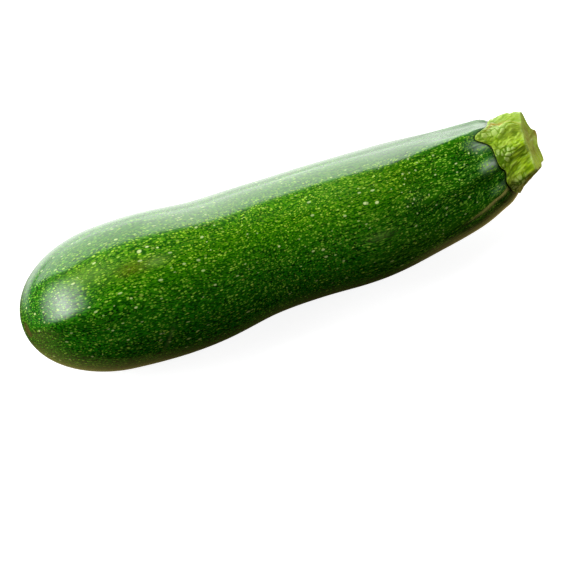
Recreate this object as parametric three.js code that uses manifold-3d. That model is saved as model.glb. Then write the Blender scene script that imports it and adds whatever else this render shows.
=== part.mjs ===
// A whole courgette lying on its side: the fruit, and the short stem it was cut from the plant with.
// Millimetres, +Z up, +X from the blossom end to the stem.
import * as THREE from 'three';
import { mergeVertices } from 'three/addons/utils/BufferGeometryUtils.js';
import Module from 'manifold-3d';

const manifold = await Module();
manifold.setup();

const degree = Math.PI / 180;

// Growth line of the fruit, one point every 20 mm from the blossom end. The last one only aims the stem.
const spineStep = 20;
const spinePoints = [
  [-90, 9.7, 17.9],
  [-70, 5.5, 22.9],
  [-50, 3.2, 24.9],
  [-30, 3.0, 23.8],
  [-10, 5.2, 22.6],
  [10, 5.2, 22.4],
  [30, 4.4, 22.5],
  [50, 6.1, 21.9],
  [70, 6.7, 22.9],
  [87, 8.7, 23.8],
  [104, 3.4, 32.3],
];
const spine = new THREE.CatmullRomCurve3(
  spinePoints.map(([x, y, z]) => new THREE.Vector3(x, y, z)), false, 'catmullrom', 0.5);
const spineLength = spineStep * (spinePoints.length - 1);

// Girth along the growth line
const bodyRadius = 22.3;
const bellySwell = 2.5;
const bellyStation = 42;
const bellySpread = 25.3;
const neckStart = 112;
const neckLength = 54;
const neckTaper = 4.8;
const bluntLength = 30.4;
const bluntPower = 2.2;
const shoulderStart = 171.7;
const shoulderEnd = 189;
const rimStation = 181;

// The fruit's end turns from the growth line to face the way the stem leaves
const stemDirection = new THREE.Vector3(0.86, -0.28, 0.43).normalize();
const turnStart = 110;
const turnEnd = 184;
const stemStation = 180;

// Ribs: a strong one runs on from each low stem ridge, a weaker one swells in each wide furrow between
const strongRibs = [12, 90, 217, 275];
const weakRibs = [49, 177, 322];
const strongRibHeight = 0.7;
const weakRibHeight = 0.5;
const ribWidth = 15;
const ribLevel = 0.4;
const ribStrengthAtBelly = 0.3;
const ribsGrowFrom = 90;
const ribsGrowTo = 178;
const lumpHeight = 0.15;
const longLump = 17;
const shortLump = 9.5;

// Seat that the stem stands in, at the stem end
const seatRings = [[181.4, 12.0], [181.0, 10.4], [180.0, 7.6], [179.4, 3.6]];
const seatDepthStation = 179.2;

// The blossom scar: a shallow dimple at the blind end, inside a faint raised ring
const scarRadius = 2.6;
const scarDepth = 0.7;

// Flat where the belly bears on the table
const restHeight = 0.3;
const slabSize = [300, 100, 20];

const fruitSides = 56;
const bluntRings = 12;
const bodyRings = 40;
const shoulderRings = 8;

function smoothStep(value, low, high) {
  return THREE.MathUtils.smoothstep(value, low, high);
}

function angleBetween(first, second) {
  const turned = THREE.MathUtils.euclideanModulo(first - second + 180, 360);
  return turned - 180;
}

// 1 where the angle meets the middle, fading to nothing on either side
function nearness(angle, middle, spread) {
  return Math.exp(-((angleBetween(angle, middle) / spread) ** 2));
}

// Centre, direction of growth, the side that faces -Y and the top of the section at one station
function sectionFrame(station) {
  const along = spine.getTangent(station / spineLength);
  along.lerp(stemDirection, smoothStep(station, turnStart, turnEnd)).normalize();
  const side = new THREE.Vector3().crossVectors(along, new THREE.Vector3(0, 0, 1)).normalize();
  const top = new THREE.Vector3().crossVectors(side, along);
  return { centre: spine.getPoint(station / spineLength), along, side, top };
}

function fruitRadius(station) {
  const belly = bellySwell * Math.exp(-(((station - bellyStation) / bellySpread) ** 2));
  const taper = neckTaper * Math.max(0, (station - neckStart) / neckLength) ** 2;
  const toBlunt = THREE.MathUtils.clamp(1 - station / bluntLength, 0, 1);
  const toShoulder = THREE.MathUtils.clamp((station - shoulderStart) / (shoulderEnd - shoulderStart), 0, 1);
  const bluntRound = Math.sqrt(1 - toBlunt ** bluntPower);
  const shoulderRound = Math.sqrt(1 - toShoulder ** 3);
  return (bodyRadius + belly - taper) * bluntRound * shoulderRound;
}

// Height of the ribs and of the slow unevenness of a grown skin, above the round section
function fruitRelief(station, angle) {
  const growth = smoothStep(station, ribsGrowFrom, ribsGrowTo);
  const strength = ribStrengthAtBelly + (1 - ribStrengthAtBelly) * growth;
  const fade = smoothStep(station, 0, bluntLength);
  const rib = (sum, crest) => sum + nearness(angle, crest, ribWidth);
  const strong = strongRibs.reduce(rib, 0) * strongRibHeight;
  const weak = weakRibs.reduce(rib, 0) * weakRibHeight;
  const longWave = Math.sin(station / longLump + 2 * Math.sin(angle * degree));
  const shortWave = Math.sin(station / shortLump - 2 * angle * degree);
  return ((strong + weak - ribLevel) * strength + lumpHeight * (longWave + shortWave)) * fade;
}

function sectionPoint(frame, radius, angle, push = 0) {
  return frame.centre.clone()
    .addScaledVector(frame.side, radius * Math.cos(angle * degree))
    .addScaledVector(frame.top, radius * Math.sin(angle * degree))
    .addScaledVector(frame.along, push);
}

function ringAngles(sides) {
  return Array.from({ length: sides }, (_, index) => (index * 360) / sides);
}

// A closed skin through a row of rings, each a list of points, with a point at either end
function skinThrough(startPoint, rings, endPoint) {
  const sides = rings[0].length;
  const corners = [startPoint, ...rings.flat(), endPoint];
  const last = corners.length - 1;
  const faces = [];
  const corner = (ring, side) => 1 + ring * sides + (side % sides);
  for (let side = 0; side < sides; side += 1) {
    faces.push(0, corner(0, side), corner(0, side + 1));
    faces.push(last, corner(rings.length - 1, side + 1), corner(rings.length - 1, side));
  }
  for (let ring = 0; ring < rings.length - 1; ring += 1) {
    for (let side = 0; side < sides; side += 1) {
      const [a, b] = [corner(ring, side), corner(ring, side + 1)];
      const [c, d] = [corner(ring + 1, side), corner(ring + 1, side + 1)];
      faces.push(a, c, b, b, c, d);
    }
  }
  const geometry = new THREE.BufferGeometry().setFromPoints(corners);
  geometry.setIndex(faces);
  return geometry;
}

function toSolid(geometry) {
  const bare = geometry.clone();
  bare.deleteAttribute('normal');
  bare.deleteAttribute('uv');
  const merged = mergeVertices(bare);
  return new manifold.Manifold(new manifold.Mesh({
    numProp: 3,
    vertProperties: new Float32Array(merged.attributes.position.array),
    triVerts: new Uint32Array(merged.index.array),
  }));
}

function toGeometry(solid) {
  const mesh = solid.getMesh();
  const geometry = new THREE.BufferGeometry();
  geometry.setAttribute('position', new THREE.BufferAttribute(mesh.vertProperties, mesh.numProp));
  geometry.setIndex(new THREE.BufferAttribute(mesh.triVerts, 1));
  geometry.computeVertexNormals();
  return geometry;
}

// The fruit: one grown body, lofted ring by ring along its growth line. growBy widens it all round.
function fruitSkin(growBy) {
  const stations = [];
  for (let step = 1; step <= bluntRings; step += 1) {
    stations.push(bluntLength * (1 - Math.cos((step / bluntRings) * (Math.PI / 2))));
  }
  for (let step = 1; step <= bodyRings; step += 1) {
    stations.push(bluntLength + ((shoulderStart - bluntLength) * step) / bodyRings);
  }
  for (let step = 1; step <= shoulderRings; step += 1) {
    stations.push(shoulderStart + ((rimStation - shoulderStart) * step) / shoulderRings);
  }
  const angles = ringAngles(fruitSides);
  const rings = stations.map((station) => {
    const frame = sectionFrame(station);
    const radius = fruitRadius(station);
    const dimple = scarDepth * Math.exp(-((radius / scarRadius) ** 4));
    return angles.map((angle) => (
      sectionPoint(frame, radius + fruitRelief(station, angle) + growBy, angle, dimple)));
  });
  for (const [station, radius] of seatRings) {
    const frame = sectionFrame(station);
    rings.push(angles.map((angle) => sectionPoint(frame, radius + growBy / 2, angle, growBy)));
  }
  const blindEnd = sectionPoint(sectionFrame(0), 0, 0, scarDepth - growBy);
  const seatCentre = sectionPoint(sectionFrame(seatDepthStation), 0, 0, growBy);
  return skinThrough(blindEnd, rings, seatCentre);
}

function makeFruit() {
  const slab = new THREE.BoxGeometry(...slabSize);
  slab.translate(0, 0, restHeight - slabSize[2] / 2);
  return toGeometry(toSolid(fruitSkin(0)).subtract(toSolid(slab)));
}

// The stem: a five-ridged stub whose foot spreads over the fruit's shoulder, standing 0.3 mm clear of it.
// Each ridge: its angle at the foot and at the cut, and its radius at three heights up to the cut.
// The last two are a low keel under the front ridge and a fold in the wide front furrow.
const stemRidges = [
  { low: -6, high: -14, radii: [14.1, 12.8, 11.4] },
  { low: 84, high: 105, radii: [12.9, 11.3, 7.4] },
  { low: 138, high: 142, radii: [13.2, 12.2, 10.5] },
  { low: 217, high: 218, radii: [13.3, 11.8, 9.6] },
  { low: 281, high: 278, radii: [13.7, 12.2, 10.2] },
  { low: -46, high: -46, radii: [12.9, 12, 9.9] },
  { low: 47, high: 47, radii: [11.4, 9.2, 7.4] },
];
const furrowRadii = [10.6, 8.4, 6.5];
const ridgeHeights = [3.2, 6.8];
const ridgeClimbs = [0.3, 0.7, 1];
const ridgeSpread = 17;

// The edge of the foot: a level line round the shoulder, with tongues reaching back and notches between
const footStation = 179.5;
const footReaches = [
  { angle: 84, reach: -5.8, spread: 10 },
  { angle: 24, reach: 1.3, spread: 8 },
  { angle: -38, reach: 1.4, spread: 17 },
  { angle: 139, reach: 0.8, spread: 20 },
  { angle: 217, reach: -1.2, spread: 14 },
  { angle: 281, reach: -1, spread: 14 },
];
const footThickness = 0.9;
const footEdgeThickness = 0.7;
const footThinning = { angle: -45, amount: 0.5, spread: 24 };
const footSink = 2.2;
const heelLength = 0.35;
const collarRise = 0.2;
const rootHeight = -4;
const rootRadius = 7;

const leanStart = -1;
const leanEnd = 9;
const stemLean = 2.8;
const cutHeight = 11.4;
const cutDirection = new THREE.Vector3(0.78, -0.36, 0.51).normalize();
const pithDip = 0.5;
const stemClearance = 0.3;
const stemSides = 70;
const ringsBetween = 3;

// Radius of the stem at one row of heights: a ridge's where the angle meets its crest, else the furrow's
function stemRadius(row, angle) {
  return stemRidges.reduce((sum, ridge) => {
    const crest = THREE.MathUtils.lerp(ridge.low, ridge.high, ridgeClimbs[row]);
    return sum + nearness(angle, crest, ridgeSpread) * (ridge.radii[row] - furrowRadii[row]);
  }, furrowRadii[row]);
}

// The stem's section centre leans towards the top of the shoulder as it rises
function stemPoint(frame, height, radius, angle) {
  const lean = stemLean * smoothStep(height, leanStart, leanEnd);
  return sectionPoint(frame, radius, angle, height).addScaledVector(frame.top, lean);
}

// A point above (or, below zero, under) the fruit's skin
function overSkin(station, angle, rise) {
  return sectionPoint(sectionFrame(station), fruitRadius(station) + fruitRelief(station, angle) + rise, angle);
}

// The stem's outline at one angle, from under its foot in the shoulder, over the shoulder and up to the cut
function stemOutline(frame, cutCentre, angle) {
  const reach = (sum, place) => sum + place.reach * nearness(angle, place.angle, place.spread);
  const foot = footReaches.reduce(reach, footStation);
  const thinned = 1 - footThinning.amount * nearness(angle, footThinning.angle, footThinning.spread);
  const heel = foot + heelLength;
  const collar = Math.max(heel + heelLength, rimStation) + collarRise;
  const cutRadius = stemRadius(2, angle);
  const toCorner = stemPoint(frame, cutHeight, cutRadius, angle).sub(cutCentre);
  const cutAt = cutHeight - toCorner.dot(cutDirection) / frame.along.dot(cutDirection);
  return new THREE.CatmullRomCurve3([
    overSkin(foot + heelLength, angle, -footSink),
    overSkin(foot, angle, -footThickness / 2),
    overSkin(heel, angle, footEdgeThickness),
    overSkin((heel + collar) / 2, angle, footThickness * thinned),
    overSkin(collar, angle, footThickness * thinned),
    stemPoint(frame, ridgeHeights[0], stemRadius(0, angle), angle),
    stemPoint(frame, ridgeHeights[1], stemRadius(1, angle), angle),
    stemPoint(frame, cutAt, cutRadius, angle),
  ], false, 'centripetal');
}

function stemSkin() {
  const frame = sectionFrame(stemStation);
  const cutCentre = stemPoint(frame, cutHeight, 0, 0);
  const angles = ringAngles(stemSides);
  const outlines = angles.map((angle) => stemOutline(frame, cutCentre, angle));
  const ringCount = (outlines[0].points.length - 1) * ringsBetween;
  const rings = [angles.map((angle) => sectionPoint(frame, rootRadius, angle, rootHeight))];
  for (let ring = 0; ring <= ringCount; ring += 1) {
    rings.push(outlines.map((outline) => outline.getPoint(ring / ringCount)));
  }
  const root = sectionPoint(frame, 0, 0, rootHeight);
  const pith = cutCentre.clone().addScaledVector(cutDirection, -pithDip);
  return skinThrough(root, rings, pith);
}

function makeStem() {
  return toGeometry(toSolid(stemSkin()).subtract(toSolid(fruitSkin(stemClearance))));
}

const fruit = new THREE.Mesh(
  makeFruit(), new THREE.MeshStandardMaterial({ color: 0x1f5a12, roughness: 0.38, metalness: 0 }));
fruit.name = 'fruit';

const stem = new THREE.Mesh(
  makeStem(), new THREE.MeshStandardMaterial({ color: 0x8fb52a, roughness: 0.6, metalness: 0 }));
stem.name = 'stem';

// Origin under the middle of the whole courgette, on the table
const group = new THREE.Group();
group.add(fruit, stem);
const box = new THREE.Box3().setFromObject(group);
const middle = box.getCenter(new THREE.Vector3());
group.position.set(-middle.x, -middle.y, -box.min.z);

export default group;
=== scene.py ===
import math

import bpy
import numpy as np
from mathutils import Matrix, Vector, noise


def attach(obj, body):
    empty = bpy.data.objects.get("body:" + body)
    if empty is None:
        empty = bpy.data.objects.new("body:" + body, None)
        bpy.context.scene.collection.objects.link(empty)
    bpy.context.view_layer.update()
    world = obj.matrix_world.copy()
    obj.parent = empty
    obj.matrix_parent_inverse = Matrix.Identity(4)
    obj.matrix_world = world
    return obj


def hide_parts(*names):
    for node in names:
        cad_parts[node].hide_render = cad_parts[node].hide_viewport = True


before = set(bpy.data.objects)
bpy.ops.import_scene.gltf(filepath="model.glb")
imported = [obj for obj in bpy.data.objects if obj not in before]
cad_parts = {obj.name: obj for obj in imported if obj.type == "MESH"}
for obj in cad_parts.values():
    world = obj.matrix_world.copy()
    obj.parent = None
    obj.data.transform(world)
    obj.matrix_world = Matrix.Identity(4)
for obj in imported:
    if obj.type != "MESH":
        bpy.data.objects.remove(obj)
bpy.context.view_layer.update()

# The fruit: one grown body of pale flesh in a thin waxy skin, fat and rounded at the blossom end,
# bowed a little and drawn in towards the stem. It is lofted ring by ring along its growth line, in
# millimetres and degrees, with low ribs that run on from the ridges of the stem.

MM = 0.001
# from the drawing's growth line to the middle of the whole courgette
TO_MIDDLE = np.array([-5.334, -3.360, -0.300])
# the middle of the body at each LINE_STEP of its length, from the blossom end on into the stem
GROWTH_LINE = np.array([
    [-90, 9.7, 17.9],
    [-70, 5.5, 22.9],
    [-50, 3.2, 24.9],
    [-30, 3.0, 23.8],
    [-10, 5.2, 22.6],
    [10, 5.2, 22.4],
    [30, 4.4, 22.5],
    [50, 6.1, 21.9],
    [70, 6.7, 22.9],
    [87, 8.7, 23.8],
    [104, 3.4, 32.3],
], float)
LINE_STEP = 20.0
# from the first of these stations to the second the body turns to the way the stem points
STEM_WAY, TURN_START, TURN_END = np.array([0.86, -0.28, 0.43]), 110, 184
BODY_RADIUS = 22.3
BELLY_SWELL, BELLY_STATION, BELLY_SPREAD = 2.5, 42.0, 25.3
NECK_START, NECK_LENGTH, NECK_TAPER = 112.0, 54.0, 4.8
BLUNT_LENGTH, BLUNT_POWER = 30.4, 2.2
SHOULDER_START, SHOULDER_END, RIM_STATION = 171.7, 189.0, 181.0
REST_HEIGHT = 0.3
STRONG_RIBS, STRONG_RIB = (12, 90, 217, 275), 0.7
WEAK_RIBS, WEAK_RIB = (49, 177, 322), 0.5
RIB_SPREAD, RIB_LEVEL = 15, 0.4
FAINT_RIBS, RIBS_START, RIBS_END = 0.3, 90, 178
WAVE_HEIGHT, LONG_WAVE, SHORT_WAVE = 0.15, 17, 9.5
# where the stem's foot spreads over the shoulder: angle, reach along the fruit, spread in degrees
FOOT_STATION = 179.5
FOOT_REACHES = ((84, -5.8, 10), (24, 1.3, 8), (-38, 1.4, 17), (139, 0.8, 20), (217, -1.2, 14), (281, -1, 14))
# sharper folds: angle, spread and height, with a hollow beside each: how far aside, spread and share
SHOULDER_FOLDS = (
    (93, 8, 0.8), (41, 8, 0.9), (6, 7, 0.8), (128, 6, 0.6), (160, 8, 0.6), (200, 9, 0.6), (243, 8, 0.6))
SHOULDER_HOLLOW = (14, 11, 0.45)
BLOSSOM_FOLD, BLOSSOM_HOLLOW = (42, 11, 0.7), (16, 11, 0.5)
# the skin stands up in a bead round the stem's foot, highest at the front, with a groove inside it
BEAD_HEIGHT, BEAD_GAP, BEAD_WIDTH, LEAST_BEAD = 0.8, 4.2, 2.6, 0.25
BEAD_ANGLE, BEAD_SPREAD = 38, 36
GROOVE_DEPTH, MORE_GROOVE, GROOVE_WIDTH = 0.1, 0.3, 0.8


def fade(value, low, high):
    """0 up to low, 1 from high on, smooth in between."""
    share = np.clip((np.asarray(value, float) - low) / (high - low), 0, 1)
    return share * share * (3 - 2 * share)


def between(first, second):
    """The turn from the second angle to the first, from -180 to 180 degrees."""
    return (np.asarray(first, float) - second + 180) % 360 - 180


def near(angle, middle, spread):
    """1 at the middle angle, falling off on both sides over the spread."""
    return np.exp(-(between(angle, middle) / spread) ** 2)


def unit(vectors):
    return vectors / np.linalg.norm(vectors, axis=-1, keepdims=True)


stem_way = unit(STEM_WAY)


def curve(start, end, leaving, arriving, share):
    """The point that share of the way along the smooth curve between two points."""
    return ((2 * start - 2 * end + leaving + arriving) * share**3
            + (3 * end - 3 * start - 2 * leaving - arriving) * share**2 + leaving * share + start)


def section_frames(stations):
    """Centre, direction of growth, the side that faces -Y and the top of each section."""
    stations = np.atleast_1d(np.asarray(stations, float))
    before, beyond = 2 * GROWTH_LINE[0] - GROWTH_LINE[1], 2 * GROWTH_LINE[-1] - GROWTH_LINE[-2]
    line = np.vstack([[before], GROWTH_LINE, [beyond]])
    steps = stations / LINE_STEP
    i = np.clip(np.floor(steps).astype(int), 0, len(GROWTH_LINE) - 2)
    share = (steps - i)[:, None]
    a, b, c, d = line[i], line[i + 1], line[i + 2], line[i + 3]
    leaving, arriving = (c - a) / 2, (d - b) / 2
    centre = curve(b, c, leaving, arriving, share)
    along = (3 * (2 * b - 2 * c + leaving + arriving) * share**2
             + 2 * (3 * c - 3 * b - 2 * leaving - arriving) * share + leaving)
    turned = fade(stations, TURN_START, TURN_END)[:, None]
    along = unit(unit(along) * (1 - turned) + stem_way * turned)
    side = unit(np.cross(along, [0, 0, 1.0]))
    return centre, along, side, np.cross(side, along)


def fruit_radius(station):
    """Radius of the plain round body, with its belly, its neck and both rounded ends."""
    station = np.asarray(station, float)
    belly = BELLY_SWELL * np.exp(-((station - BELLY_STATION) / BELLY_SPREAD) ** 2)
    taper = NECK_TAPER * np.clip((station - NECK_START) / NECK_LENGTH, 0, None) ** 2
    blunt = np.sqrt(1 - np.clip(1 - station / BLUNT_LENGTH, 0, 1) ** BLUNT_POWER)
    turned_in = np.clip((station - SHOULDER_START) / (SHOULDER_END - SHOULDER_START), 0, 1)
    return (BODY_RADIUS + belly - taper) * blunt * np.sqrt(1 - turned_in**3)


def foot_line(angle):
    """The station that the edge of the stem's foot reaches at each angle."""
    return FOOT_STATION + sum(reach * near(angle, middle, spread) for middle, reach, spread in FOOT_REACHES)


def fold(angle, crest, hollow):
    """A fold of the skin, with a hollow beside it."""
    middle, spread, height = crest
    aside, hollow_spread, depth = hollow
    return height * (near(angle, middle, spread) - depth * near(angle, middle - aside, hollow_spread))


def shoulder_relief(station, angle):
    """Folds that run up to the stem, and the bead and groove of the skin round its foot."""
    folds = sum(fold(angle, crest, SHOULDER_HOLLOW) for crest in SHOULDER_FOLDS)
    gap = foot_line(angle) - station
    longest_tongue = near(angle, 84, 20)
    full = LEAST_BEAD + (1 - LEAST_BEAD) * near(angle, BEAD_ANGLE, BEAD_SPREAD) * (1 - 0.9 * longest_tongue)
    bead = full * BEAD_HEIGHT * np.exp(-((gap - BEAD_GAP) / BEAD_WIDTH) ** 2)
    groove = (GROOVE_DEPTH + MORE_GROOVE * full) * np.exp(-(gap / GROOVE_WIDTH) ** 2)
    return folds * fade(station, 138, 174) * fade(gap, -0.5, 2.5) + (bead - groove)


def fruit_relief(station, angle):
    """How far the ribs, slow waves and folds stand off the plain round body."""
    strength = FAINT_RIBS + (1 - FAINT_RIBS) * fade(station, RIBS_START, RIBS_END)
    strong = STRONG_RIB * sum(near(angle, crest, RIB_SPREAD) for crest in STRONG_RIBS)
    weak = WEAK_RIB * sum(near(angle, crest, RIB_SPREAD) for crest in WEAK_RIBS)
    turn = np.radians(angle)
    waves = np.sin(station / LONG_WAVE + 2 * np.sin(turn)) + np.sin(station / SHORT_WAVE - 2 * turn)
    ribs = (strong + weak - RIB_LEVEL) * strength + WAVE_HEIGHT * waves
    blossom = fold(angle, BLOSSOM_FOLD, BLOSSOM_HOLLOW) * fade(station, 0.5, 5) * (1 - fade(station, 22, 42))
    return ribs * fade(station, 0, BLUNT_LENGTH) + blossom + shoulder_relief(station, angle)


def round_angles(sides):
    """Even angles all the way round, from the underside."""
    return -90 + np.arange(sides) * 360 / sides


def steps_after(start, end, count):
    """Even steps from just after the start to the end."""
    return np.linspace(start, end, count + 1)[1:]


def rings_on(stations, radii, angles, push=0.0):
    """Points round each section, stations by angles by 3, pushed along the way of growth."""
    centre, along, side, top = section_frames(stations)
    turn = np.radians(angles)
    push = np.broadcast_to(np.asarray(push, float), np.shape(stations))
    centre = centre + along * push[:, None]
    across = np.cos(turn)[None, :, None] * side[:, None] + np.sin(turn)[None, :, None] * top[:, None]
    return centre[:, None] + radii[..., None] * across


def middle_at(station, push=0.0):
    """The middle of one section, pushed along the way of growth."""
    return rings_on([station], np.zeros((1, 1)), np.zeros(1), push)[0, 0]


def unbent(way, radii, angles):
    """The place of each ring point if the piece were a straight bar: along it, then round it."""
    turn = np.radians(angles)
    radii = np.broadcast_to(radii, way.shape)[:, None]
    along = np.repeat(way[:, None], len(angles), 1)
    return np.stack([along, radii * np.cos(turn)[None], radii * np.sin(turn)[None]], -1)


def closed_skin(name, start, rings, end, carried, uv_along):
    """A closed mesh through rings of points. It carries named vectors, one at each ring point,
    that its material reads, and its uv map is the skin slit along the underside and rolled flat."""
    count, sides = rings.shape[:2]
    points = np.vstack([[start], rings.reshape(-1, 3), [end]])
    last = len(points) - 1
    uv_round = np.arange(sides + 1) / sides
    faces, uvs = [], []
    for ring in range(count - 1):
        u0, u1 = uv_along[ring], uv_along[ring + 1]
        low, high = 1 + ring * sides, 1 + (ring + 1) * sides
        for side in range(sides):
            after = (side + 1) % sides
            v0, v1 = uv_round[side], uv_round[side + 1]
            faces.append((low + side, high + side, high + after, low + after))
            uvs += [(u0, v0), (u1, v0), (u1, v1), (u0, v1)]
    last_ring = 1 + (count - 1) * sides
    for side in range(sides):
        after = (side + 1) % sides
        v0, v1 = uv_round[side], uv_round[side + 1]
        faces.append((0, 1 + side, 1 + after))
        uvs += [(0, (v0 + v1) / 2), (uv_along[0], v0), (uv_along[0], v1)]
        faces.append((last, last_ring + after, last_ring + side))
        uvs += [(1, (v0 + v1) / 2), (uv_along[-1], v1), (uv_along[-1], v0)]
    mesh = bpy.data.meshes.new(name)
    mesh.from_pydata((points + TO_MIDDLE) * MM, [], faces)
    layer = mesh.uv_layers.new(name="OFBake")
    layer.data.foreach_set("uv", np.array(uvs, np.float32).ravel())
    for key, vectors in carried.items():
        attribute = mesh.attributes.new(key, "FLOAT_VECTOR", "POINT")
        whole = np.vstack([[vectors[0].mean(0)], vectors.reshape(-1, 3), [vectors[-1].mean(0)]])
        attribute.data.foreach_set("vector", whole.astype(np.float32).ravel())
    mesh.shade_smooth()
    piece = bpy.data.objects.new(name, mesh)
    bpy.context.scene.collection.objects.link(piece)
    return piece


# rings of the blunt end, the body and the shoulder, then of the shallow seat under the stem
FRUIT_SIDES, BLUNT_RINGS, BODY_RINGS, SHOULDER_RINGS = 256, 60, 280, 40
SEAT_STATIONS, SEAT_RADII = np.array([181.4, 181.0, 180.0, 179.4]), np.array([12.0, 10.4, 7.6, 3.6])
SEAT_BOTTOM = 179.2
DIMPLE_DEPTH, DIMPLE_RADIUS = 0.7, 2.6

angles = round_angles(FRUIT_SIDES)
blunt_stations = BLUNT_LENGTH * (1 - np.cos(steps_after(0, math.pi / 2, BLUNT_RINGS)))
body_stations = steps_after(BLUNT_LENGTH, SHOULDER_START, BODY_RINGS)
shoulder_stations = steps_after(SHOULDER_START, RIM_STATION, SHOULDER_RINGS)
stations = np.concatenate([blunt_stations, body_stations, shoulder_stations])
radii = fruit_radius(stations)
dimple = DIMPLE_DEPTH * np.exp(-(radii / DIMPLE_RADIUS) ** 4)
skin_radii = radii[:, None] + fruit_relief(stations[:, None], angles[None])
fruit_rings = rings_on(stations, skin_radii, angles, dimple)
seat_rings = rings_on(SEAT_STATIONS, np.repeat(SEAT_RADII[:, None], FRUIT_SIDES, 1), angles)
fruit_rings = np.concatenate([fruit_rings, seat_rings])
fruit_rings[..., 2] = np.maximum(fruit_rings[..., 2], REST_HEIGHT)

# the flower fell off here: a small flat scar a little above the very end, pressed in towards the core
SCAR_STATION, SCAR_ANGLE, SCAR_DEPTH, SCAR_RADIUS, SCAR_CORE = 2.2, 40, 0.5, 2.8, 12.0
scar_ring, scar_side = np.abs(stations - SCAR_STATION).argmin(), np.abs(angles - SCAR_ANGLE).argmin()
scar_middle = fruit_rings[scar_ring, scar_side].copy()
scar_gap = np.linalg.norm(fruit_rings - scar_middle, axis=-1)
scar_dent = SCAR_DEPTH * np.exp(-(scar_gap / SCAR_RADIUS) ** 4)
fruit_rings += scar_dent[..., None] * unit(section_frames([SCAR_CORE])[0][0] - scar_middle)

# the pattern lies on the skin unbent: way along the skin, then round it on a slightly slimmer core
CORE_RADIUS, CORE_SHARE = 7, 0.68
all_stations = np.concatenate([stations, SEAT_STATIONS])
all_radii = np.concatenate([radii, SEAT_RADII])
way = np.cumsum(np.hypot(np.diff(all_stations, prepend=0), np.diff(all_radii, prepend=0)))
at_station, at_angle = np.meshgrid(all_stations, angles, indexing="ij")

# marks, each 0 to 1: painted light, yellower on top where the light falls; paler on the rib crests; painted
# shade in the groove
LIT_TOP_ANGLE, LIT_TOP_SPREAD = 80, 33
NECK_LINE, NECK_LINE_WIDTH, NECK_LINE_STRENGTH = 4, 3, 1.6
GROOVE_SHADE_WIDTH = 0.7
gap = foot_line(at_angle) - at_station
# painted light: the top, where the light falls, is marked for a lighter, yellower green
lit_top = near(at_angle, LIT_TOP_ANGLE, LIT_TOP_SPREAD) * fade(at_station, 4, 26)
lit_top = lit_top * (1 - 0.8 * fade(at_station, 125, 165))
crests = np.clip(fruit_relief(at_station, at_angle) + 0.1, 0, 1) * fade(at_station, 25, 60)
crests += NECK_LINE_STRENGTH * near(at_angle, NECK_LINE, NECK_LINE_WIDTH) * fade(at_station, 136, 152)
# painted shade: darkest in the groove round the stem's foot
groove = np.exp(-np.clip(gap / GROOVE_SHADE_WIDTH, 0, None) ** 2)

# the underside, painted reflections as pale grey glints below the stem's foot (angle, spread, strength), and
# the flower's scar
SHOULDER_GLINTS, BACK_GLINT = ((45, 6, 1), (74, 7, 0.9), (12, 4, 0.4)), (108, 16, 0.7)
belly = fade(-at_angle, 10, 20) * fade(at_angle, -89, -60)
shoulder_glints = sum(strength * near(at_angle, middle, spread) for middle, spread, strength in SHOULDER_GLINTS)
shoulder_glint = fade(-gap, -11, -2.5) * shoulder_glints
middle, spread, strength = BACK_GLINT
shoulder_glint = np.clip(shoulder_glint + strength * fade(-gap, -7, -2) * near(at_angle, middle, spread), 0, 1)
scar = 1 - fade(scar_gap, 2.0, 3.2)

# the upper back, painted greyer and plainer as sheen; a painted reflection of the warm table under the neck;
# painted shade in a dark crease below the blossom fold
# painted sheen: the upper back, where the back light's highlight lies
sheened_back = fade(at_angle, 84, 104) * (1 - fade(at_angle, 132, 158))
# painted reflection: the warm table mirrored under the neck
table_reflection = belly * fade(at_station, 115, 160)
# painted shade: darker below the blossom fold, up from the scar
crease_shade = (1 - fade(at_angle, 35, 44)) * fade(at_angle, -30, 10)
crease_shade = crease_shade * (1 - fade(at_station, 8, 55)) * fade(way, 3, 7)[:, None]

# single spots: station, angle, length, width and strength of each
MM_PER_DEGREE = 0.42
BLOTCHES = ((36, 68, 4.5, 2.2, 1), (98.6, 121, 1.2, 1.0, 0.6), (60, 200, 6, 2.5, 0.5))
PALE_PATCHES = ((42.5, 68, 3.0, 1.6, 1), (118, 30, 4, 1.5, 0.7), (24, 74, 7, 3.5, 0.8), (80, 160, 5, 2, 0.6))
# the first scratch runs a little slantwise over the fruit
SCRATCHES = ((41 + 0.15 * (at_angle - 4), 4, 0.5, 4.5, 1), (132, 236, 3.5, 0.4, 0.8))


def spots_at(spots):
    """All the spots of one kind, 0 to 1 at each ring point."""
    total = 0
    for station, angle, length, width, strength in spots:
        off_along = (at_station - station) / length
        off_round = between(at_angle, angle) * MM_PER_DEGREE / width
        total = total + strength * np.exp(-off_along ** 2 - off_round ** 2)
    return np.clip(total, 0, 1)


# the uv map keeps this much clear of both ends
UV_EDGE = 0.002
fruit = closed_skin(
    "courgette_fruit", middle_at(0.0, DIMPLE_DEPTH), fruit_rings, middle_at(SEAT_BOTTOM),
    {
        "grown": unbent(way, CORE_RADIUS + CORE_SHARE * all_radii, angles),
        "marks": np.stack([lit_top, crests, groove], -1),
        "ends": np.stack([belly, shoulder_glint, scar], -1),
        "shades": np.stack([sheened_back, table_reflection, crease_shade], -1),
        "spots": np.stack([spots_at(BLOTCHES), spots_at(PALE_PATCHES), spots_at(SCRATCHES)], -1),
    },
    UV_EDGE + (1 - 2 * UV_EDGE) * way / way[-1])


def node(tree, kind, values=None, **settings):
    """A shader node with its settings, and its inputs set or linked."""
    made = tree.nodes.new(kind)
    for key, value in settings.items():
        setattr(made, key, value)
    for key, value in (values or {}).items():
        if isinstance(value, bpy.types.NodeSocket):
            tree.links.new(value, made.inputs[key])
        else:
            made.inputs[key].default_value = value
    return made


def math_node(tree, operation, first, second):
    return node(tree, "ShaderNodeMath", {0: first, 1: second}, operation=operation).outputs[0]


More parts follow.
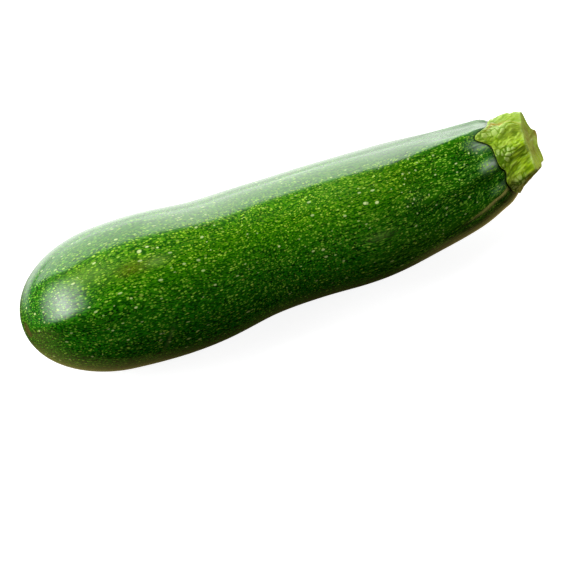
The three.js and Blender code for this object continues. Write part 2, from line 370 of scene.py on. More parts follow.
def times(tree, first, second):
    return math_node(tree, "MULTIPLY", first, second)


def plus(tree, first, second):
    return math_node(tree, "ADD", first, second)


def vector_node(tree, operation, first, second):
    return node(tree, "ShaderNodeVectorMath", {0: first, 1: second}, operation=operation).outputs[0]


def ramp(tree, value, low, high, to_low=0.0, to_high=1.0):
    """Smooth step of a value from low to high, on to any two values."""
    return node(tree, "ShaderNodeMapRange",
                {"Value": value, "From Min": low, "From Max": high, "To Min": to_low, "To Max": to_high},
                interpolation_type="SMOOTHSTEP").outputs["Result"]


def blend(tree, colour, paint, mask):
    """A paint laid over a colour where the mask is."""
    return node(tree, "ShaderNodeMix", {0: mask, 6: colour, 7: paint}, data_type="RGBA").outputs[2]


def tint(tree, colour, paint, mask, strength):
    """A paint laid over a colour where the mask is, at that strength."""
    return blend(tree, colour, paint, times(tree, mask, strength))


def carried_by_mesh(tree, name):
    return node(tree, "ShaderNodeAttribute", attribute_name=name).outputs["Vector"]


def parts_of(tree, vector):
    return node(tree, "ShaderNodeSeparateXYZ", {0: vector}).outputs


def stretched(tree, place, stretch, shift=(0, 0, 0)):
    return node(tree, "ShaderNodeMapping", {"Vector": place, "Scale": stretch, "Location": shift}).outputs[0]


VALUE, VECTOR = "NodeSocketFloat", "NodeSocketVector"


def new_group(name, inputs, outputs):
    group = bpy.data.node_groups.new(name, "ShaderNodeTree")
    for socket, kind in inputs:
        group.interface.new_socket(socket, in_out="INPUT", socket_type=kind)
    for socket, kind in outputs:
        group.interface.new_socket(socket, in_out="OUTPUT", socket_type=kind)
    return group, group.nodes.new("NodeGroupInput").outputs, group.nodes.new("NodeGroupOutput").inputs


# grain: noise drawn out along the growth, for the clouds and streaks of the skin and the stem's threads
grain, given, out = new_group(
    "drawn_out_grain",
    [("Place", VECTOR), ("Stretch", VECTOR), ("Shift", VECTOR), ("Detail", VALUE), ("Roughness", VALUE)],
    [("Value", VALUE)])
grain_noise = node(grain, "ShaderNodeTexNoise", {
    "Vector": stretched(grain, given["Place"], given["Stretch"], given["Shift"]),
    "Scale": 1.0, "Detail": given["Detail"], "Roughness": given["Roughness"]})
grain.links.new(grain_noise.outputs[0], out["Value"])


def use_grain(tree, place, stretch, shift=(0, 0, 0), detail=3.0, roughness=0.5):
    values = {"Place": place, "Stretch": stretch, "Shift": shift, "Detail": detail, "Roughness": roughness}
    return node(tree, "ShaderNodeGroup", values, node_tree=grain).outputs["Value"]


# flecks: one in each cell of a stretched lattice, in a share of the cells, some larger than others
flecks, given, out = new_group(
    "skin_flecks",
    [("Place", VECTOR), ("Stretch", VECTOR), ("Shift", VECTOR), ("Size", VALUE), ("Share", VALUE)],
    [("Mask", VALUE), ("Height", VALUE)])
cells = node(flecks, "ShaderNodeTexVoronoi", {
    "Vector": stretched(flecks, given["Place"], given["Stretch"], given["Shift"]),
    "Scale": 1.0, "Randomness": 1.0})
lot = node(flecks, "ShaderNodeSeparateColor", {0: cells.outputs["Color"]}).outputs
own_size = times(flecks, given["Size"], ramp(flecks, lot["Red"], 0.0, 1.0, 0.55, 1.25))
there = math_node(flecks, "GREATER_THAN", given["Share"], lot["Green"])
off_middle = math_node(flecks, "DIVIDE", cells.outputs["Distance"], own_size)
fleck_mask = times(flecks, ramp(flecks, off_middle, 1.0, 0.6), there)
fleck_mask = times(flecks, fleck_mask, ramp(flecks, lot["Blue"], 0.0, 1.0, 0.55, 1.0))
flecks.links.new(fleck_mask, out["Mask"])
flecks.links.new(times(flecks, ramp(flecks, off_middle, 1.4, 0.0), there), out["Height"])


def use_flecks(tree, place, kind):
    stretch, shift, size, share = kind
    values = {"Place": place, "Stretch": stretch, "Shift": shift, "Size": size, "Share": share}
    return node(tree, "ShaderNodeGroup", values, node_tree=flecks).outputs


def new_material(name):
    material = bpy.data.materials.new(name)
    material.use_nodes = True
    tree = material.node_tree
    tree.nodes.clear()
    surface = tree.nodes.new("ShaderNodeBsdfPrincipled")
    shown = tree.nodes.new("ShaderNodeOutputMaterial")
    tree.links.new(surface.outputs[0], shown.inputs[0])
    return material, tree, surface, shown


def roughen(tree, surface, height, strength, depth):
    """Fine relief that only bends the light."""
    bump = node(tree, "ShaderNodeBump", {"Height": height, "Strength": strength, "Distance": depth})
    tree.links.new(bump.outputs[0], surface.inputs["Normal"])


# colours of the waxy skin, as linear red, green, blue and alpha
DEEP_GREEN = (0.0001, 0.037, 0.0001, 1)
FULL_GREEN = (0.0010, 0.070, 0.0002, 1)
LIT_TOP_GREEN = (0.013, 0.112, 0.0002, 1)
NECK_GREEN = (0.0001, 0.022, 0.0001, 1)
WEAVE_GREEN = (0.020, 0.310, 0.002, 1)
LIT_TOP_WEAVE = (0.125, 0.430, 0.001, 1)
STREAK_GREEN = (0.040, 0.250, 0.001, 1)
GLINT_GREY = (0.480, 0.600, 0.480, 1)
SHEEN_GREY_GREEN = (0.030, 0.150, 0.010, 1)
FLECK_GREEN = (0.33, 0.78, 0.06, 1)
LIT_TOP_FLECK = (0.52, 0.86, 0.04, 1)
MIDDLING_FLECK = (0.60, 0.90, 0.11, 1)
LARGE_FLECK = (0.74, 0.92, 0.34, 1)
DARK_TABLE_REFLECTION = (0.030, 0.030, 0.004, 1)
PALE_TABLE_REFLECTION = (0.190, 0.150, 0.040, 1)
BLOTCH_BROWN = (0.150, 0.110, 0.004, 1)
PATCH_GREEN = (0.300, 0.480, 0.100, 1)
SCRATCH_BROWN = (0.350, 0.360, 0.160, 1)
CREASE_SHADE_GREEN = (0.0005, 0.020, 0.001, 1)
SCAR_BROWN = (0.120, 0.095, 0.022, 1)
GROOVE_SHADE_GREEN = (0.006, 0.030, 0.001, 1)
WAX_IOR = 1.6
# how the rows of the pattern sway from side to side, in cells per millimetre and in millimetres
SWAY_STRETCH, SWAY = (0.05, 0.09, 0.09), 5.0
NECK_PATTERN_START, NECK_PATTERN_END = 100, 160
# kinds of flecks: cells per millimetre along and across, shift, size in the cell, share of the cells
FINE_FLECKS = (0.95, 1.75, 1.75), (0, 0, 0), 0.41, 0.95
MIDDLING_FLECKS = (0.45, 0.80, 0.80), (5, 9, 2), 0.24, 0.6
LARGE_FLECKS = (0.27, 0.46, 0.46), (3, 1, 4), 0.18, 0.8
NECK_DASHES = (0.55, 2.10, 2.10), (8, 3, 6), 0.46, 0.95

skin, tree, surface, _ = new_material("waxy_green_skin")
place = carried_by_mesh(tree, "grown")
lit_top, crest, groove = parts_of(tree, carried_by_mesh(tree, "marks"))
belly, shoulder_glint, scar = parts_of(tree, carried_by_mesh(tree, "ends"))
sheened_back, table_reflection, crease_shade = parts_of(tree, carried_by_mesh(tree, "shades"))
blotch, pale_patch, scratch = parts_of(tree, carried_by_mesh(tree, "spots"))
neck = ramp(tree, parts_of(tree, place)["X"], NECK_PATTERN_START, NECK_PATTERN_END)


def from_body_to_neck(on_body, on_neck):
    return ramp(tree, neck, 0.0, 1.0, on_body, on_neck)


sway = node(tree, "ShaderNodeTexNoise",
            {"Vector": stretched(tree, place, SWAY_STRETCH), "Scale": 1.0, "Detail": 2.0}).outputs["Color"]
sway = vector_node(tree, "SUBTRACT", sway, (0.5, 0.5, 0.5))
wavy = vector_node(tree, "ADD", place, vector_node(tree, "MULTIPLY", sway, (0.0, SWAY, SWAY)))

# broad bands and clouds of lighter and darker green, drawn out along the fruit, and a fine weave
band = use_grain(tree, place, (0.012, 0.09, 0.09), detail=2.0)
cloud = use_grain(tree, wavy, (0.05, 0.16, 0.16), (7, 3, 1), 4.0, 0.6)
streak = use_grain(tree, wavy, (0.06, 1.1, 1.1), roughness=0.6)
weave = use_grain(tree, wavy, (0.9, 2.7, 2.7), (1, 6, 3), 1.0, 0.6)
tone = plus(tree, times(tree, band, 0.5), times(tree, cloud, 0.5))
row = plus(tree, streak, times(tree, crest, 0.14))
green = blend(tree, DEEP_GREEN, FULL_GREEN, ramp(tree, tone, 0.38, 0.62))
# painted light: a lighter, yellower green on top where the light falls
green = tint(tree, green, LIT_TOP_GREEN, lit_top, 0.75)
green = tint(tree, green, NECK_GREEN, neck, 0.4)
weave_green = blend(tree, WEAVE_GREEN, LIT_TOP_WEAVE, lit_top)
green = blend(tree, green, weave_green, ramp(tree, weave, 0.44, 0.60, 0.0, from_body_to_neck(0.8, 0.45)))
green = blend(tree, green, STREAK_GREEN, ramp(tree, row, 0.42, 0.72, 0.0, from_body_to_neck(0.45, 0.8)))

# painted reflections: pale grey glints in streaks below the stem's foot; the back painted greyer and plainer
# as sheen
streaked_glint = times(tree, shoulder_glint, ramp(tree, cloud, 0.3, 0.6, 0.5, 1.0))
streaked_glint = times(tree, streaked_glint, ramp(tree, streak, 0.35, 0.6, 0.45, 0.95))
# painted reflection: pale grey glints on the shoulder below the stem's foot
green = blend(tree, green, GLINT_GREY, streaked_glint)
# painted sheen: the upper back greyer and plainer
green = tint(tree, green, SHEEN_GREY_GREEN, sheened_back, 0.5)

# flecks, crowded in rows, drawn out into dashes at the neck, fainter underneath as painted shade and on the
# back as painted sheen
fine = use_flecks(tree, wavy, FINE_FLECKS)
middling = use_flecks(tree, wavy, MIDDLING_FLECKS)
large = use_flecks(tree, wavy, LARGE_FLECKS)
dashes = use_flecks(tree, wavy, NECK_DASHES)
shade_and_sheen = times(tree, ramp(tree, belly, 0.0, 1.0, 1.0, 0.3),
               ramp(tree, sheened_back, 0.0, 1.0, 1.0, from_body_to_neck(0.46, 0.14)))
crowd = times(tree, ramp(tree, row, 0.38, 0.56, from_body_to_neck(0.3, 0.1), 1.0), shade_and_sheen)
fine_or_dashes = node(tree, "ShaderNodeMix", {0: neck, 2: fine["Mask"], 3: dashes["Mask"]}).outputs[0]
# painted light: yellower flecks on top where the light falls
fine_green = blend(tree, FLECK_GREEN, LIT_TOP_FLECK, lit_top)
green = tint(tree, green, fine_green, fine_or_dashes, crowd)
green = tint(tree, green, MIDDLING_FLECK, middling["Mask"], crowd)
green = tint(tree, green, LARGE_FLECK, large["Mask"], shade_and_sheen)

# the painted reflection of the warm table, spots, the crease's painted shade, the scar and the painted shade
# of the dark groove lie over all of it
stripe = use_grain(tree, place, (0.03, 0.9, 0.9), (0, 2, 9), roughness=0.6)
# painted reflection: the warm table mirrored under the neck, in brown stripes
reflected_table = blend(tree, DARK_TABLE_REFLECTION, PALE_TABLE_REFLECTION, ramp(tree, stripe, 0.4, 0.6))
green = tint(tree, green, reflected_table, table_reflection, 0.35)
green = tint(tree, green, BLOTCH_BROWN, blotch, 0.45)
green = tint(tree, green, PATCH_GREEN, pale_patch, 0.35)
green = tint(tree, green, SCRATCH_BROWN, scratch, 0.30)
# painted shade in the crease below the blossom fold
green = tint(tree, green, CREASE_SHADE_GREEN, crease_shade, 0.4)
green = tint(tree, green, SCAR_BROWN, scar, ramp(tree, weave, 0.3, 0.6, 0.5, 0.95))
# painted shade: the groove round the stem's foot painted dark
green = tint(tree, green, GROOVE_SHADE_GREEN, groove, 0.9)
tree.links.new(green, surface.inputs["Base Color"])
dull = use_grain(tree, place, (0.06, 0.12, 0.12), (2, 8, 5), 4.0)
tree.links.new(ramp(tree, dull, 0.3, 0.7, 0.15, 0.22), surface.inputs["Roughness"])
surface.inputs["IOR"].default_value = WAX_IOR
height = plus(tree, times(tree, fine["Height"], 0.25), times(tree, large["Height"], 0.6))
roughen(tree, surface, plus(tree, height, times(tree, cloud, 1.6)), 0.35, 0.1 * MM)
fruit.data.materials.append(skin)
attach(fruit, "root")
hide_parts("fruit")

# The stem: a short ridged stub of pale fibrous flesh that the fruit hung by, cut off slantwise
# with a knife. Its foot grows out over the fruit's shoulder in tongues, the longest on top towards
# the front, and its skin is warty at the foot and wrinkled up to the cut.

STEM_STATION = 180.0
# ridges: angle at the foot, angle at the cut, and radius at each of the three upper rows
STEM_RIDGES = (
    (-6, -14, (14.1, 12.8, 11.4)),
    (84, 105, (12.9, 11.3, 7.4)),
    (138, 142, (13.2, 12.2, 10.5)),
    (217, 218, (13.3, 11.8, 9.6)),
    (281, 278, (13.7, 12.2, 10.2)),
    (-46, -46, (12.9, 12.0, 9.9)),
    (47, 47, (11.4, 9.2, 7.4)),
)
FURROW_RADII = (10.6, 8.4, 6.5)
RIDGE_HEIGHTS, RIDGE_CLIMBS, RIDGE_SPREAD = (3.2, 6.8), (0.3, 0.7, 1.0), 17
STEM_LEAN, LEAN_START, LEAN_END = 2.8, -1, 9
FOOT_THICKNESS, FOOT_EDGE, HEEL, COLLAR_GAP = 0.9, 0.7, 0.35, 0.2
ROOT_DEPTH, ROOT_END, ROOT_RADIUS = 2.2, 4, 7
CUT_HEIGHT, CUT_WAY = 11.4, np.array([0.78, -0.36, 0.51])
STEM_SIDES, RINGS_PER_ROW = 300, 12

cut_way = unit(CUT_WAY)
stem_centre, stem_along, stem_side, stem_top = (part[0] for part in section_frames([STEM_STATION]))


def stem_radius(upper_row, angle):
    """Radius of the stem, with its ridges and furrows, at one of the three upper rows."""
    total = FURROW_RADII[upper_row] + np.zeros_like(angle)
    for at_foot, at_cut, ridge in STEM_RIDGES:
        crest = at_foot + (at_cut - at_foot) * RIDGE_CLIMBS[upper_row]
        total += near(angle, crest, RIDGE_SPREAD) * (ridge[upper_row] - FURROW_RADII[upper_row])
    return total


def stem_point(height, radius, angle):
    """A point that high up the stem, which leans up as it leaves the fruit."""
    turn = np.radians(angle)
    lean = STEM_LEAN * fade(height, LEAN_START, LEAN_END)
    across = np.cos(turn)[:, None] * stem_side + np.sin(turn)[:, None] * stem_top
    lift = np.asarray(height)[..., None] * stem_along + np.asarray(lean)[..., None] * stem_top
    return stem_centre + radius[:, None] * across + lift


def over_skin(station, angle, rise):
    """A point at each angle, that far above the fruit's skin."""
    centre, _, side, top = section_frames(station)
    turn = np.radians(angle)[:, None]
    radius = fruit_radius(station) + fruit_relief(station, angle) + rise
    return centre + radius[:, None] * (np.cos(turn) * side + np.sin(turn) * top)


def through(points, count):
    """Centripetal curve through rows of points, the same count of steps between each two."""
    line = np.concatenate([[2 * points[0] - points[1]], points, [2 * points[-1] - points[-2]]])
    rows = [points[:1]]
    for i in range(len(points) - 1):
        a, b, c, d = line[i:i + 4]
        ab, bc, cd = (np.maximum(np.linalg.norm(q - p, axis=-1, keepdims=True), 1e-4) ** 0.5
                      for p, q in ((a, b), (b, c), (c, d)))
        leaving = ((b - a) / ab - (c - a) / (ab + bc) + (c - b) / bc) * bc
        arriving = ((c - b) / bc - (d - b) / (bc + cd) + (d - c) / cd) * bc
        rows += [curve(b, c, leaving, arriving, step / count)[None] for step in range(1, count + 1)]
    return np.concatenate(rows)


# eight rows of points carry the wall: 0 the root, 2 the heel, 4 the collar, 7 the cut
stem_angles = round_angles(STEM_SIDES)
foot = foot_line(stem_angles)
heel = foot + HEEL
collar = np.maximum(heel + HEEL, RIM_STATION) + COLLAR_GAP
thin = FOOT_THICKNESS * (1 - 0.5 * near(stem_angles, -45, 24))
cut_centre = stem_point(CUT_HEIGHT, np.zeros(1), np.zeros(1))[0]
cut_radius = stem_radius(2, stem_angles)
level_rim = stem_point(CUT_HEIGHT, cut_radius, stem_angles)
rim_height = CUT_HEIGHT - (level_rim - cut_centre) @ cut_way / (stem_along @ cut_way)
rows = np.stack([
    over_skin(heel, stem_angles, -ROOT_DEPTH),
    over_skin(foot, stem_angles, -FOOT_THICKNESS / 2),
    over_skin(heel, stem_angles, FOOT_EDGE),
    over_skin((heel + collar) / 2, stem_angles, thin),
    over_skin(collar, stem_angles, thin),
    stem_point(RIDGE_HEIGHTS[0], stem_radius(0, stem_angles), stem_angles),
    stem_point(RIDGE_HEIGHTS[1], stem_radius(1, stem_angles), stem_angles),
    stem_point(rim_height, cut_radius, stem_angles),
])
CUT_ROW = len(rows) - 1
wall = through(rows, RINGS_PER_ROW)
row_at = np.linspace(0, CUT_ROW, len(wall))

# warts on the tongues, and slanting wrinkles in the furrows and up the walls
GRAIN_WAY, GRAIN_PULL = np.array([0.90, 0.13, 0.41]), 0.75
WARTS_PER_MM, WART_HEIGHT = 0.5, 0.30
WRINKLES_PER_MM, FINE_WRINKLES_PER_MM, FINE_SHARE, WRINKLE_HEIGHT = 0.9, 2.2, 0.6, 0.6


def wrinkle_at(point):
    coarse, fine = noise.noise(point * WRINKLES_PER_MM), noise.noise(point * FINE_WRINKLES_PER_MM)
    return coarse + FINE_SHARE * fine


off_axis = wall - stem_centre
out_way = unit(off_axis - (off_axis @ stem_along)[..., None] * stem_along)
points = wall.reshape(-1, 3)
slanted = points - GRAIN_PULL * (points @ GRAIN_WAY)[:, None] * GRAIN_WAY
cell_gaps = [noise.voronoi(Vector(point) * WARTS_PER_MM)[0][:2] for point in points]
wart = np.array([fade(second - first, 0.0, 0.24) for first, second in cell_gaps]).reshape(wall.shape[:2])
wrinkle = np.array([wrinkle_at(Vector(point)) for point in slanted]).reshape(wall.shape[:2])
skinned = (fade(row_at, 1.6, 2.4) * (1 - fade(row_at, 6.4, CUT_ROW)))[:, None]
on_ridge = sum(near(stem_angles, at_foot + (at_cut - at_foot) * 0.5, RIDGE_SPREAD)
               for at_foot, at_cut, _ in STEM_RIDGES)
on_ridge = np.clip(on_ridge, 0, 1)[None]
warty = (1 - fade(row_at[:, None], 4.2 + 1.2 * on_ridge, 5.4 + 1.4 * on_ridge)) * (0.3 + 0.7 * on_ridge)
smoother_below = 1 - 0.6 * near(stem_angles, -60, 32)[None]
rise = WART_HEIGHT * warty * (wart - 0.8) + WRINKLE_HEIGHT * (1 - 0.7 * warty) * (wrinkle - 0.25)
rise = skinned * smoother_below * rise

# a brown nub at the back of the rim, brown along the top ridge's crest and under the front tongue
NUB_ANGLE, NUB_SPREAD, NUB_HEIGHT = 217, 8, 1.3
TOP_CREST_ROWS, TOP_CREST_ANGLES, TOP_CREST_SPREAD = [2.5, 4, 5, 6, 7], [88, 108, 116, 115, 105], 6
on_nub = near(stem_angles, NUB_ANGLE, NUB_SPREAD)[None]
nub = NUB_HEIGHT * on_nub * fade(row_at, 5.9, 6.7)[:, None]
wall = wall + (rise + nub)[..., None] * out_way
top_crest = np.interp(row_at, TOP_CREST_ROWS, TOP_CREST_ANGLES)[:, None]
brown = near(stem_angles[None], top_crest, TOP_CREST_SPREAD)
brown = brown * (fade(row_at, 2.6, 3.6) * (1 - 0.6 * fade(row_at, 5.6, 6.6)))[:, None]
brown = brown + on_nub * fade(row_at, 6.3, 6.9)[:, None]
brown = brown + 0.7 * near(stem_angles, -42, 22)[None] * fade(row_at, 1.5, 3.5)[:, None]

# the cut face: rings drawn in towards its middle, dished and torn a little inside the rim
CUT_DISH, TORN_HEIGHT, TEARS_PER_MM = 0.5, 0.35, 0.7
inward = np.array([0.03, 0.08] + [0.15 + 0.08 * step for step in range(11)])[:, None]
cut_face = (len(inward), STEM_SIDES)
cut_rings = wall[-1] + (cut_centre - wall[-1]) * inward[..., None]
torn = [noise.noise(Vector(point) * TEARS_PER_MM) for point in cut_rings.reshape(-1, 3)]
torn = np.array(torn).reshape(cut_face)
torn = TORN_HEIGHT * torn * fade(inward, 0, 0.2) * fade(1 - inward, 0, 0.2)
cut_rings -= (CUT_DISH * fade(inward, 0, 0.6) + torn)[..., None] * cut_way
root_ring = stem_centre + ROOT_RADIUS * unit(out_way[0]) - ROOT_END * stem_along

# what the stem carries: where its pattern lies, its marks of growth and of age, and its top's painted shade
PATTERN_RADIUS, PATTERN_STEP = 12, 2.2
# painted shade: the stem's top, round this angle, painted a darker green
TOP_SHADE_ANGLE, TOP_SHADE_SPREAD = 120, 48
# the mark of a spot that is neither a wrinkle's crest nor its hollow
EVEN = 0.5


def root_wall_cut(on_root, on_wall, on_cut):
    """One mark for the whole stem, from its values on the root ring, the wall and the cut face."""
    whole = [np.broadcast_to(on_root, (1, STEM_SIDES)), np.broadcast_to(on_wall, wall.shape[:2]),
             np.broadcast_to(on_cut, cut_face)]
    return np.concatenate(whole)


pattern_at = unbent(row_at * PATTERN_STEP, PATTERN_RADIUS, stem_angles)
cut_pattern = np.repeat(pattern_at[-1:], len(inward), 0)
cut_pattern[..., 1:] *= 1 - inward[..., None]
wart_tops = warty * wart * skinned
brown = np.clip(brown, 0, 1)
brown_on_cut = near(stem_angles, NUB_ANGLE, 11) * (1 - fade(inward, 0.05, 0.4))
top_shade = near(stem_angles, TOP_SHADE_ANGLE, TOP_SHADE_SPREAD)
stem = closed_skin(
    "courgette_stem", stem_centre - ROOT_END * stem_along, np.concatenate([[root_ring], wall, cut_rings]),
    cut_centre - CUT_DISH * cut_way,
    {
        "grown": np.concatenate([pattern_at[:1], pattern_at, cut_pattern]),
        "marks": np.stack([
            root_wall_cut(wart_tops[:1], wart_tops, 0),
            root_wall_cut(brown[:1], brown, brown_on_cut),
            root_wall_cut(0, row_at[:, None], CUT_ROW + inward),
        ], -1),
        "relief_and_top_shade": np.stack([
            root_wall_cut(0, warty * skinned, 0),
            root_wall_cut(EVEN, EVEN + wrinkle * (1 - 0.85 * warty) * skinned, EVEN),
            root_wall_cut(top_shade, top_shade, 0),
        ], -1),
    },
    np.linspace(0.01, 0.99, 1 + len(wall) + len(inward)))

# colours of the stem's flesh
FLESH, PALE_FLESH = (0.44, 0.70, 0.004, 1), (0.52, 0.72, 0.04, 1)
THREAD_GREEN = (0.20, 0.42, 0.002, 1)
DIP_GREEN_AND_SHADE = (0.13, 0.30, 0.002, 1)
RISE_YELLOW_AND_HIGHLIGHT = (0.64, 0.86, 0.12, 1)
SPECK_YELLOW = (0.66, 0.82, 0.20, 1)
WART_YELLOW_AND_HIGHLIGHT = (0.62, 0.80, 0.30, 1)
NET_GREEN_AND_SHADE = (0.11, 0.28, 0.003, 1)
RIM_YELLOW = (0.68, 0.84, 0.30, 1)
CUT_YELLOW = (0.58, 0.74, 0.05, 1)
FIBRE_GREEN = (0.20, 0.36, 0.006, 1)
DRIED = (0.36, 0.36, 0.04, 1)
TOP_SHADE_GREEN = (0.22, 0.36, 0.02, 1)
EDGE_BROWN = (0.46, 0.26, 0.02, 1)
FOOT_EDGE_SHADE = (0.05, 0.10, 0.004, 1)
FLESH_IOR = 1.42
# fibre ends of the cut: ends per millimetre across it, and shift
FIBRE_ENDS = (0.0, 0.75, 0.75), (0, 3, 5)

flesh, tree, surface, _ = new_material("pale_stem_flesh")
place = carried_by_mesh(tree, "grown")
wart_tops, brown, row_up = parts_of(tree, carried_by_mesh(tree, "marks"))
warty, wrinkled, top_shade = parts_of(tree, carried_by_mesh(tree, "relief_and_top_shade"))
patch = use_grain(tree, place, (0.14, 0.2, 0.2))
thread = use_grain(tree, place, (0.12, 1.7, 1.7), (4, 4, 0), roughness=0.6)
speck = use_grain(tree, place, (0.9, 1.6, 1.6), (2, 0, 6), roughness=0.6)

# the wall: threads up the ridges, darker dips, paler rises, specks, and a dark net between the warts; the
# dips, rises, wart tops and net are partly the stem's own colour and partly painted shade and highlight
colour = blend(tree, FLESH, PALE_FLESH, ramp(tree, patch, 0.35, 0.65))
colour = blend(tree, colour, THREAD_GREEN, ramp(tree, thread, 0.45, 0.65, 0.0, 0.6))
colour = blend(tree, colour, DIP_GREEN_AND_SHADE, ramp(tree, wrinkled, 0.5, 0.15, 0.0, 0.6))
colour = blend(tree, colour, RISE_YELLOW_AND_HIGHLIGHT, ramp(tree, wrinkled, 0.6, 0.95, 0.0, 0.6))
colour = blend(tree, colour, SPECK_YELLOW, ramp(tree, speck, 0.55, 0.7, 0.0, 0.45))
net = math_node(tree, "SUBTRACT", warty, wart_tops)
colour = blend(tree, colour, WART_YELLOW_AND_HIGHLIGHT, ramp(tree, wart_tops, 0.4, 0.95, 0.0, 0.6))
colour = blend(tree, colour, NET_GREEN_AND_SHADE, ramp(tree, net, 0.08, 0.65, 0.0, 0.85))

# the cut: a pale rim, a paler face with darker fibre ends, and a middle that has started to dry
rim = times(tree, ramp(tree, row_up, 6.75, 6.95), ramp(tree, row_up, 7.06, 7.02))
colour = tint(tree, colour, RIM_YELLOW, rim, ramp(tree, speck, 0.35, 0.6, 0.0, 0.6))
cut = ramp(tree, row_up, 7.02, 7.06)
colour = tint(tree, colour, CUT_YELLOW, cut, 0.4)
fibre_ends = node(tree, "ShaderNodeTexVoronoi", {"Vector": stretched(tree, place, *FIBRE_ENDS), "Scale": 1.0})
fibre_ends = ramp(tree, fibre_ends.outputs["Distance"], 0.42, 0.18, 0.0, 0.55)
colour = tint(tree, colour, FIBRE_GREEN, fibre_ends, cut)
drying = ramp(tree, row_up, 7.2, 7.7)
colour = tint(tree, colour, DRIED, drying, ramp(tree, patch, 0.35, 0.6, 0.2, 0.7))
# painted shade: the top of the stem painted a darker green
colour = tint(tree, colour, TOP_SHADE_GREEN, top_shade, 0.6)
colour = tint(tree, colour, EDGE_BROWN, brown, ramp(tree, speck, 0.35, 0.6, 0.3, 1.0))
# painted shade: the root and the foot's edge, where the stem meets the fruit, painted dark
colour = blend(tree, colour, FOOT_EDGE_SHADE, ramp(tree, row_up, 2.05, 1.7))
tree.links.new(colour, surface.inputs["Base Color"])
tree.links.new(ramp(tree, patch, 0.3, 0.7, 0.34, 0.5), surface.inputs["Roughness"])
surface.inputs["IOR"].default_value = FLESH_IOR
roughen(tree, surface, plus(tree, times(tree, speck, 0.7), thread), 0.5, 0.3 * MM)
stem.data.materials.append(flesh)
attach(stem, "root")
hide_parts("stem")

# The floor: a plain pale sheet, laid flat, that the courgette lies on. The waxy skin mirrors it as
# a warm strip close by, which glows most near both ends, and as white farther back.

FLOOR_SIZE = 6
SHEET_GREY, SHEET_GLOW = (0.5, 0.5, 0.5, 1), 0.9
WARM_LIGHT, DUSK = (1.0, 0.78, 0.24, 1), (0.13, 0.11, 0.05, 1)
# glow of the strip along X in metres: from, to, and the glow at each; the two are added up
LEFT_GLOW, RIGHT_GLOW = (-0.09, -0.03, 0.2, 0.04), (0.03, 0.095, 0.0, 0.45)
# across the strip, which runs slantwise: its front edge, its rise to the middle and its fall behind
STRIP_SLANT = 0.1
STRIP_EDGE, STRIP_RISE, STRIP_FALL = (-0.028, -0.024), (-0.026, 0.0, 0.7, 2.0), (0.006, 0.026, 1.0, 0.25)
# farther back the strip gives way to white, which is dim at the left
WHITE_START, WHITE_END, WHITE_GLOW = 0.03, 0.09, (-0.22, -0.11, 0.1, 2.0)

bpy.ops.mesh.primitive_plane_add(size=FLOOR_SIZE, location=(0, 0, 0))
floor = bpy.context.object
floor.name = "floor"
sheet, tree, surface, shown = new_material("pale_floor")
surface.inputs["Base Color"].default_value = SHEET_GREY
surface.inputs["Roughness"].default_value = 0.9
surface.inputs["Specular IOR Level"].default_value = 0.0
surface.inputs["Emission Color"].default_value = (1, 1, 1, 1)
surface.inputs["Emission Strength"].default_value = SHEET_GLOW
at_x, at_y, _ = parts_of(tree, node(tree, "ShaderNodeNewGeometry").outputs["Position"])
strip_y = math_node(tree, "SUBTRACT", at_y, times(tree, at_x, STRIP_SLANT))
strip = plus(tree, ramp(tree, at_x, *LEFT_GLOW), ramp(tree, at_x, *RIGHT_GLOW))
for limits in (STRIP_EDGE, STRIP_RISE, STRIP_FALL):
    strip = times(tree, strip, ramp(tree, strip_y, *limits))
warm = node(tree, "ShaderNodeEmission", {"Color": WARM_LIGHT, "Strength": strip}).outputs[0]
white_glow = ramp(tree, at_x, *WHITE_GLOW)
white = node(tree, "ShaderNodeEmission", {"Color": (1, 1, 1, 1), "Strength": white_glow}).outputs[0]
dusk = node(tree, "ShaderNodeBsdfDiffuse", {"Color": DUSK}).outputs[0]
rays = node(tree, "ShaderNodeLightPath").outputs


def mixed(share, first, second):
    return node(tree, "ShaderNodeMixShader", {0: share, 1: first, 2: second}).outputs[0]


mirrored = mixed(ramp(tree, at_y, WHITE_START, WHITE_END), warm, white)
unseen = mixed(rays["Is Glossy Ray"], dusk, mirrored)
tree.links.new(mixed(rays["Is Camera Ray"], unseen, surface.outputs[0]), shown.inputs[0])
floor.data.materials.append(sheet)

# The studio light: a wide soft box behind, in two parts with the right one brighter, and a round
# lamp behind cloth at the far left. A box at the right and one overhead only fill the shadows and
# are not mirrored in the wax, and the room itself is soft and dim.

# places, targets and sizes in metres, and the brightness of each box
BACK_BOXES = (
    ("back_box", (0.3475, 0.60, 0.33), (0.3475, 0, 0.33), (0.495, 0.66), 3.3),
    ("back_left_box", (-0.2275, 0.60, 0.33), (-0.2275, 0, 0.33), (0.655, 0.66), 2.5),
)
FILL_BOXES = (
    ("right_box", (0.875, -0.235, 0.42), (0.08, 0, 0.025), (0.5, 0.34), 2.6),
    ("top_box", (0, 0.45, 1.05), (0, 0, 0), (1.1, 0.9), 2.4),
)
# the round lamp: nine rounds, each wider, dimmer, lower and farther back than the one before
LAMP_ROUNDS, LAMP_AT, LAMP_TARGET = 9, (-1.21, -0.02, 0.83), (-0.075, 0, 0.025)
LAMP_WIDTH, MORE_WIDTH, MORE_FAR, MORE_BACK, LESS_HIGH = 0.16, 0.17, 0.01, 0.02, 0.022
LAMP_GLOW, LESS_GLOW = 1.3, 0.1
ROOM_GLOW, LESS_MIRRORED, MORE_SEEN = 0.03, -0.026, 0.85


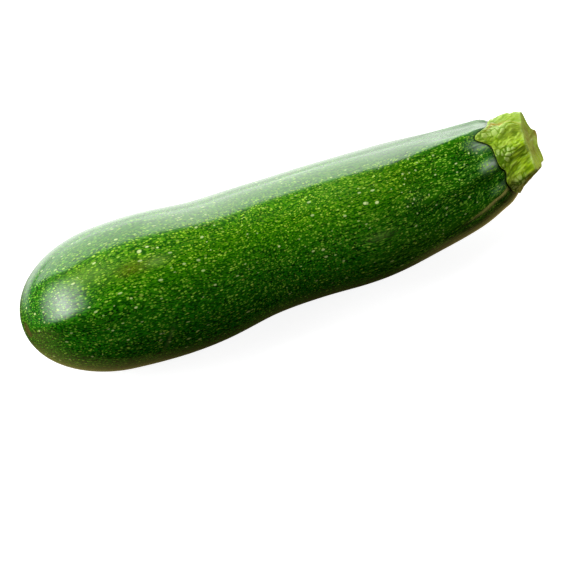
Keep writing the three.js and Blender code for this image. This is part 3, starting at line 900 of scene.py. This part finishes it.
def soft_box(name, at, toward, size, glow):
    """A soft box of that size, in metres, and that brightness all over."""
    light = bpy.data.lights.new(name, "AREA")
    light.shape = "RECTANGLE"
    light.size, light.size_y = size
    light.energy = glow * math.pi * size[0] * size[1]
    box = bpy.data.objects.new(name, light)
    box.location = at
    box.rotation_euler = (Vector(toward) - Vector(at)).to_track_quat("-Z", "Y").to_euler()
    box.visible_camera = False
    bpy.context.scene.collection.objects.link(box)
    return box


for back_box in BACK_BOXES:
    soft_box(*back_box)
for ring in range(LAMP_ROUNDS):
    width, way_off = LAMP_WIDTH + MORE_WIDTH * ring, 1 + MORE_FAR * ring
    x, y, z = LAMP_AT
    lamp_at = (x * way_off, (y + MORE_BACK * ring) * way_off, (z - LESS_HIGH * ring) * way_off)
    lamp = soft_box("left_box_%d" % ring, lamp_at, LAMP_TARGET, (width, width), LAMP_GLOW - LESS_GLOW * ring)
    lamp.data.shape = "DISK"
for fill in FILL_BOXES:
    soft_box(*fill).visible_glossy = False

world = bpy.data.worlds.new("soft_room")
bpy.context.scene.world = world
world.use_nodes = True
tree = world.node_tree
rays = node(tree, "ShaderNodeLightPath").outputs
dim = plus(tree, ROOM_GLOW, times(tree, rays["Is Glossy Ray"], LESS_MIRRORED))
room = tree.nodes["Background"]
room.inputs["Color"].default_value = (1, 1, 1, 1)
tree.links.new(plus(tree, dim, times(tree, rays["Is Camera Ray"], MORE_SEEN)), room.inputs["Strength"])

# The camera: a long lens held seventy centimetres off, looking down on the courgette from the
# front left, with all of it sharp.

LENS, SENSOR_WIDTH, NEAREST, FARTHEST = 130, 36, 0.05, 20
AROUND, RAISED, DISTANCE = math.radians(-24), math.radians(50), 0.70
AIM = Vector((-0.005834, -0.00336, 0.00654))

lens = bpy.data.cameras.new("camera")
lens.lens, lens.sensor_width = LENS, SENSOR_WIDTH
lens.clip_start, lens.clip_end = NEAREST, FARTHEST
camera = bpy.data.objects.new("camera", lens)
away = Vector((math.sin(AROUND) * math.cos(RAISED), -math.cos(AROUND) * math.cos(RAISED), math.sin(RAISED)))
camera.location = AIM + away * DISTANCE
camera.rotation_euler = away.to_track_quat("Z", "Y").to_euler()
bpy.context.scene.collection.objects.link(camera)
bpy.context.scene.camera = camera
bpy.context.scene.view_settings.view_transform = "Standard"
